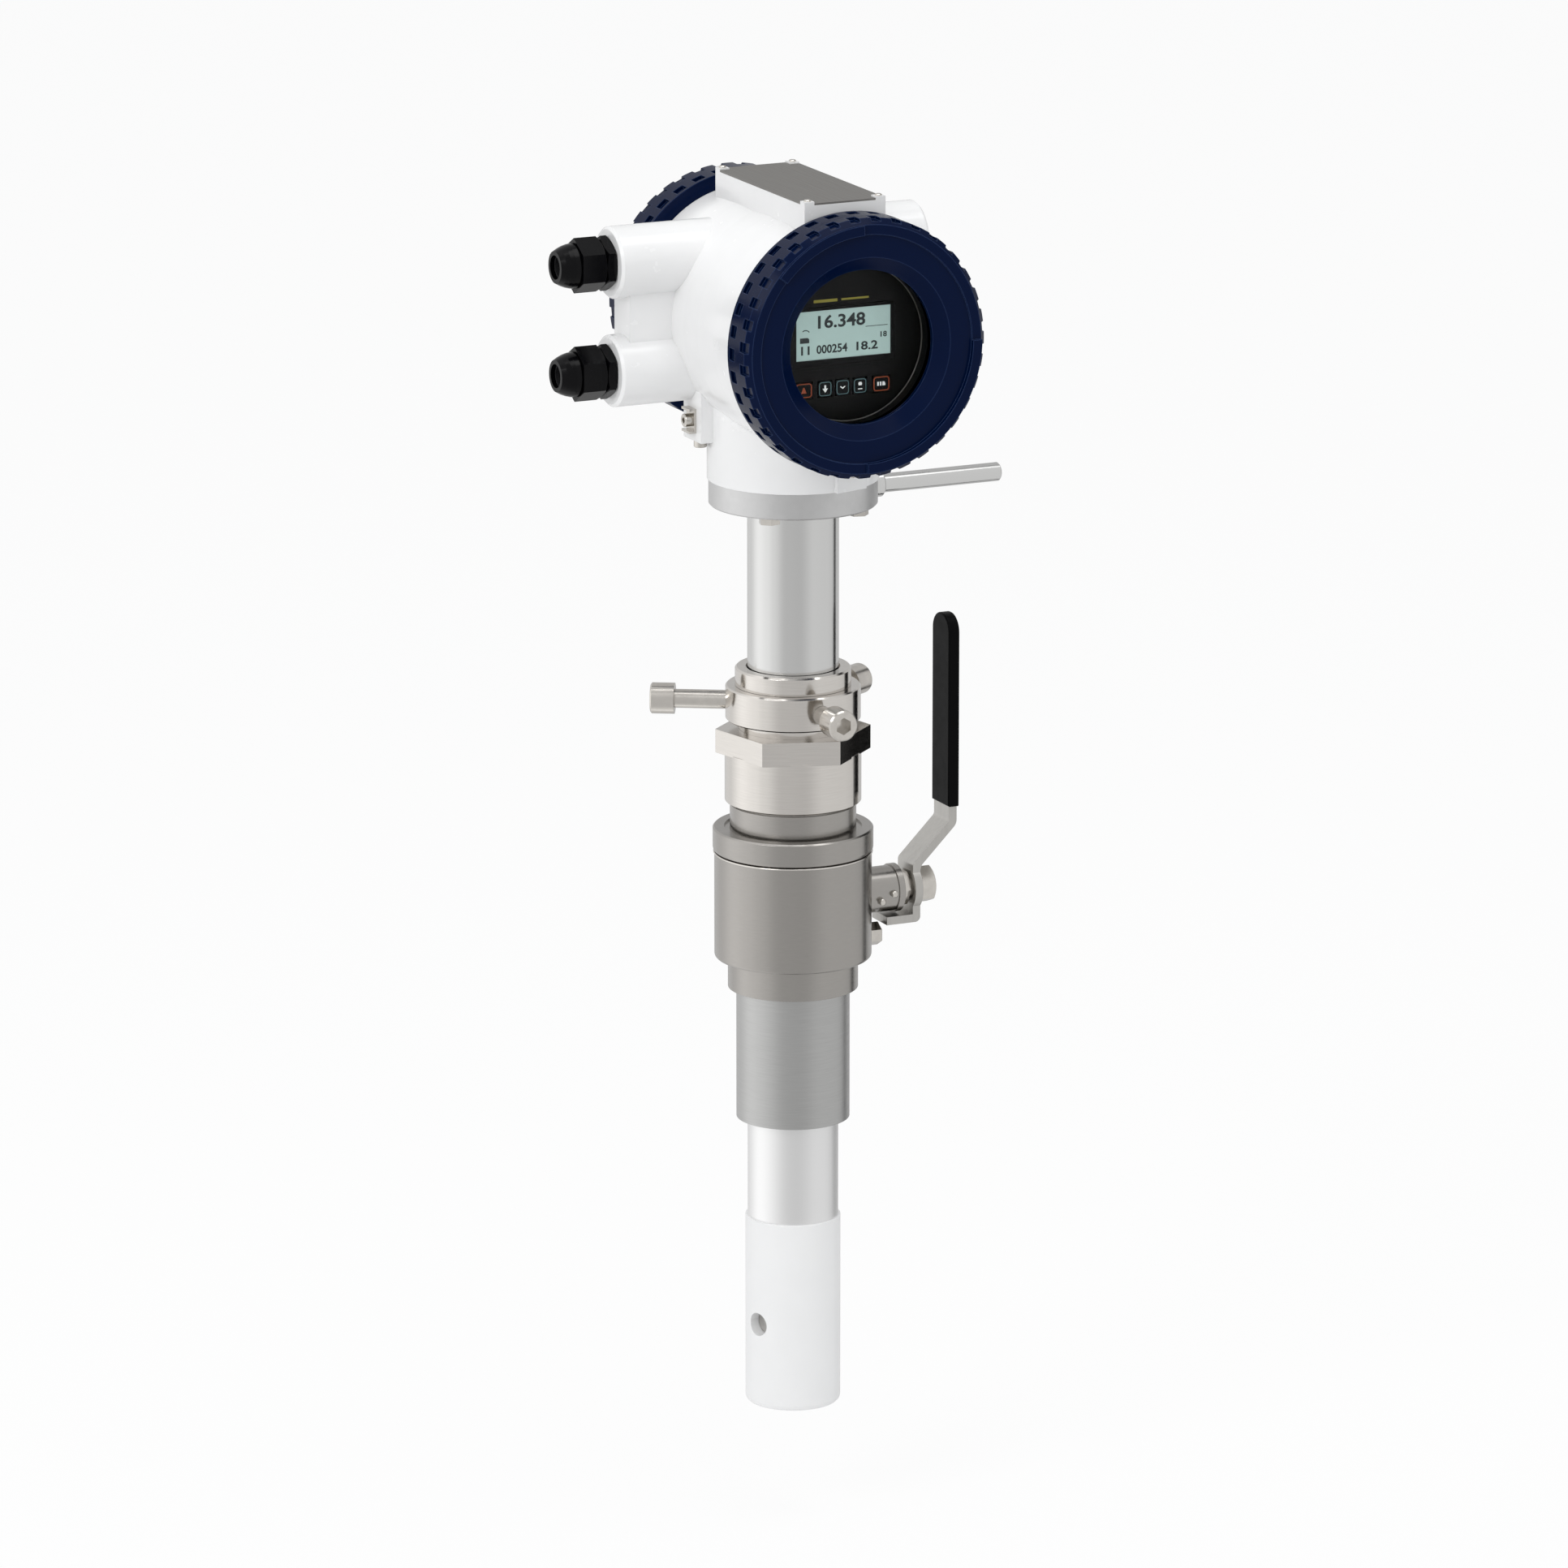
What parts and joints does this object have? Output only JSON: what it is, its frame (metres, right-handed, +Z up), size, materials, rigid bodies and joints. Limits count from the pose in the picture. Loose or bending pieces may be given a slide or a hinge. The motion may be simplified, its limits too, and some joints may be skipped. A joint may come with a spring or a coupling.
{
  "type": "insertion flow meter",
  "caption": "Insertion flow meter: round transmitter head with display on a steel stem that slides through a clamp collar and ball valve to a white sensor sleeve.",
  "frame": {"origin": "centre of the lower end face of the weld nipple", "axes": "+Z up the stem towards the head, the display faces -Y, the cable glands point to -X, the valve lever is on +X"},
  "size_m": [0.2451, 0.1791, 0.6662],
  "materials": {
    "satin_steel": "satin drawn tube",
    "valve_steel": "brushed, darker",
    "stem_steel": "fine turned, bright",
    "bright_nickel": "polished",
    "ball_steel": "polished",
    "screw_steel": "turned",
    "lever_steel": "satin",
    "seat_plastic": "turned",
    "packing": "braided",
    "brass": "turned",
    "grip_vinyl": "dipped vinyl, satin",
    "sleeve_plastic": "smooth turned white",
    "electrode_steel": "turned",
    "coil_copper": "wound",
    "flange_grey": "satin",
    "white_paint": "gloss powder coat",
    "navy_paint": "semi gloss powder coat",
    "plate_metal": "brushed",
    "black_panel": "satin",
    "lcd_face": "pale liquid crystal screen",
    "board_green": "circuit board",
    "terminal_grey": "moulded",
    "key_dark": "membrane key",
    "gland_black": "moulded nylon",
    "seal_rubber": "soft",
    "window_glass": "clear toughened"
  },
  "bodies": {
    "valve": {"weld_nipple": "satin_steel", "valve_body": "valve_steel", "valve_end_cap": "valve_steel", "valve_ball": "ball_steel", "ball_seats": "seat_plastic", "body_plug": "screw_steel", "stop_pins": "screw_steel", "spindle_packing": "packing", "spindle_gland_nut": "screw_steel", "outlet_nipple": "valve_steel", "fitting_body": "bright_nickel", "packing_rings": "packing", "clamp_collar": "bright_nickel"},
    "guide": {"guide_ring": "bright_nickel"},
    "lever": {"valve_spindle": "screw_steel", "lever_handle": "lever_steel", "lever_grip": "grip_vinyl", "lever_nut": "screw_steel"},
    "probe": {"stem_tube": "stem_steel", "sensor_sleeve": "sleeve_plastic", "sensor_electrodes": "electrode_steel", "field_coil": "coil_copper", "neck_flange": "flange_grey", "flange_bolts": "screw_steel", "orientation_rod": "stem_steel", "housing": "white_paint", "nameplate": "plate_metal", "nameplate_screws": "screw_steel", "socket_screws": "screw_steel", "earth_clip": "screw_steel", "display_panel": "black_panel", "lcd_screen": "lcd_face", "display_board": "board_green", "display_standoffs": "screw_steel", "terminal_board": "board_green", "terminal_block": "terminal_grey", "gland_bodies": "gland_black", "blanking_plugs": "white_paint"},
    "front_ring": {"front_cover_seal": "seal_rubber"},
    "front_lid": {"front_cover": "navy_paint", "window_gasket": "seal_rubber", "window_glass": "window_glass", "window_retainer": "black_panel"},
    "rear_ring": {"rear_cover_seal": "seal_rubber"},
    "rear_lid": {"rear_cover": "navy_paint"},
    "pad_front": {"clamp_pad_front": "brass"},
    "screw_front": {"clamp_screw_front": "screw_steel"},
    "pad_right": {"clamp_pad_right": "brass"},
    "screw_right": {"clamp_screw_right": "screw_steel"},
    "pad_left": {"clamp_pad_left": "brass"},
    "screw_left": {"clamp_screw_left": "screw_steel"},
    "gland_ring_upper": {"gland_seal_upper": "seal_rubber"},
    "gland_cap_upper": {"gland_nut_upper": "gland_black"},
    "gland_ring_lower": {"gland_seal_lower": "seal_rubber"},
    "gland_cap_lower": {"gland_nut_lower": "gland_black"},
    "button_1": {"key_1": "key_dark"},
    "button_2": {"key_2": "key_dark"},
    "button_3": {"key_3": "key_dark"},
    "button_4": {"key_4": "key_dark"},
    "button_5": {"key_5": "key_dark"}
  },
  "joints": [
    {"name": "probe_turn", "type": "hinge", "parent": "valve", "child": "guide", "pos_m": [0, 0, 0.24], "axis": [0, 0, 1], "continuous": true},
    {"name": "probe_slide", "type": "slide", "parent": "guide", "child": "probe", "axis": [0, 0, 1], "range_m": [-0.06, 0.24]},
    {"name": "lever_turn", "type": "hinge", "parent": "valve", "child": "lever", "pos_m": [0.066, 0, 0.1187], "axis": [1, 0, 0], "range_deg": [0, 90]},
    {"name": "clamp_front_advance", "type": "slide", "parent": "valve", "child": "pad_front", "axis": [0, -1, 0], "range_m": [0, 0.0045]},
    {"name": "clamp_front_turn", "type": "hinge", "parent": "pad_front", "child": "screw_front", "pos_m": [0, -0.04, 0.227], "axis": [0, -1, 0], "range_deg": [0, 1084.6]},
    {"name": "clamp_right_advance", "type": "slide", "parent": "valve", "child": "pad_right", "axis": [0.866, 0.5, 0], "range_m": [0, 0.0045]},
    {"name": "clamp_right_turn", "type": "hinge", "parent": "pad_right", "child": "screw_right", "pos_m": [0.03464, 0.02, 0.227], "axis": [0.866, 0.5, 0], "range_deg": [0, 1084.6]},
    {"name": "clamp_left_advance", "type": "slide", "parent": "valve", "child": "pad_left", "axis": [-0.866, 0.5, 0], "range_m": [0, 0.0045]},
    {"name": "clamp_left_turn", "type": "hinge", "parent": "pad_left", "child": "screw_left", "pos_m": [-0.03464, 0.02, 0.227], "axis": [-0.866, 0.5, 0], "range_deg": [0, 1084.6]},
    {"name": "front_cover_advance", "type": "slide", "parent": "probe", "child": "front_ring", "axis": [0, -1, 0], "range_m": [0, 0.01002]},
    {"name": "front_cover_turn", "type": "hinge", "parent": "front_ring", "child": "front_lid", "pos_m": [0, -0.07, 0.4328], "axis": [0, -1, 0], "range_deg": [0, 1800]},
    {"name": "rear_cover_advance", "type": "slide", "parent": "probe", "child": "rear_ring", "axis": [0, 1, 0], "range_m": [0, 0.01002]},
    {"name": "rear_cover_turn", "type": "hinge", "parent": "rear_ring", "child": "rear_lid", "pos_m": [0, 0.07, 0.4328], "axis": [0, 1, 0], "range_deg": [0, 1800]},
    {"name": "gland_upper_advance", "type": "slide", "parent": "probe", "child": "gland_ring_upper", "axis": [-1, 0, 0], "range_m": [0, 0.00602]},
    {"name": "gland_upper_turn", "type": "hinge", "parent": "gland_ring_upper", "child": "gland_cap_upper", "pos_m": [-0.11, 0.024, 0.4658], "axis": [-1, 0, 0], "range_deg": [0, 1440]},
    {"name": "gland_lower_advance", "type": "slide", "parent": "probe", "child": "gland_ring_lower", "axis": [-1, 0, 0], "range_m": [0, 0.00602]},
    {"name": "gland_lower_turn", "type": "hinge", "parent": "gland_ring_lower", "child": "gland_cap_lower", "pos_m": [-0.11, 0.024, 0.4083], "axis": [-1, 0, 0], "range_deg": [0, 1440]},
    {"name": "key_1_press", "type": "slide", "parent": "probe", "child": "button_1", "axis": [0, 1, 0], "range_m": [0, 0.0004], "stiffness_N_per_m": 2000},
    {"name": "key_2_press", "type": "slide", "parent": "probe", "child": "button_2", "axis": [0, 1, 0], "range_m": [0, 0.0004], "stiffness_N_per_m": 2000},
    {"name": "key_3_press", "type": "slide", "parent": "probe", "child": "button_3", "axis": [0, 1, 0], "range_m": [0, 0.0004], "stiffness_N_per_m": 2000},
    {"name": "key_4_press", "type": "slide", "parent": "probe", "child": "button_4", "axis": [0, 1, 0], "range_m": [0, 0.0004], "stiffness_N_per_m": 2000},
    {"name": "key_5_press", "type": "slide", "parent": "probe", "child": "button_5", "axis": [0, 1, 0], "range_m": [0, 0.0004], "stiffness_N_per_m": 2000}
  ],
  "couplings": [
    {"joint": "clamp_front_turn", "follows": "clamp_front_advance", "rad_per_m": 4188.8},
    {"joint": "clamp_right_turn", "follows": "clamp_right_advance", "rad_per_m": 4188.8},
    {"joint": "clamp_left_turn", "follows": "clamp_left_advance", "rad_per_m": 4188.8},
    {"joint": "front_cover_advance", "follows": "front_cover_turn", "m_per_rad": 0.00031831},
    {"joint": "rear_cover_advance", "follows": "rear_cover_turn", "m_per_rad": 0.00031831},
    {"joint": "gland_upper_advance", "follows": "gland_upper_turn", "m_per_rad": 0.00023873},
    {"joint": "gland_lower_advance", "follows": "gland_lower_turn", "m_per_rad": 0.00023873}
  ]
}
